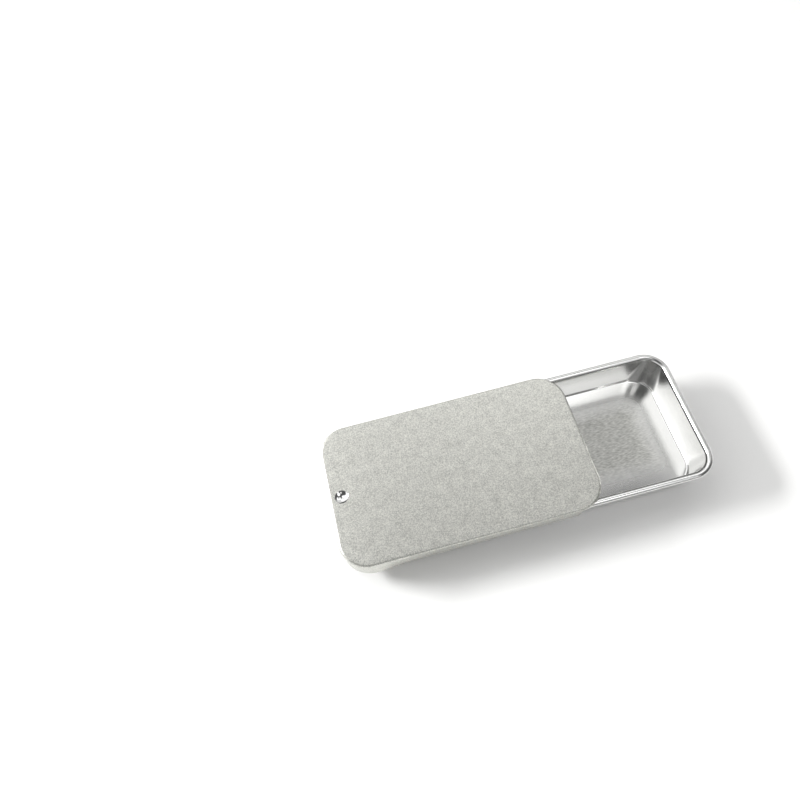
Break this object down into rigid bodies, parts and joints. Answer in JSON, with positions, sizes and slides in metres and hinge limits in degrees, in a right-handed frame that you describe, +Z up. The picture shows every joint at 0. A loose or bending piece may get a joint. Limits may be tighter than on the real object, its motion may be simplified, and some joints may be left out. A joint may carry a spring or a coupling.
{
  "type": "sliding lid tin",
  "caption": "Small flat tinplate tin with round corners: a shallow tray with a rolled rim, and a lid with a dimple that slides along it.",
  "frame": {"origin": "centre of the flat underside of the tray", "axes": "+X along the tin towards the end of the tray that the lid uncovers, +Y across it, +Z up"},
  "size_m": [0.0866, 0.034, 0.011],
  "materials": {
    "tray_tinplate": "bright plain tinplate with a faint rolled grain",
    "lid_tinplate": "frosted plain tinplate with a fine mottled grain"
  },
  "bodies": {
    "tray": {"tray": "tray_tinplate"},
    "lid": {"sliding_lid": "lid_tinplate"}
  },
  "joints": [
    {"name": "lid_slide", "type": "slide", "parent": "tray", "child": "lid", "axis": [1, 0, 0], "range_m": [-0.0175, 0.0275]}
  ]
}
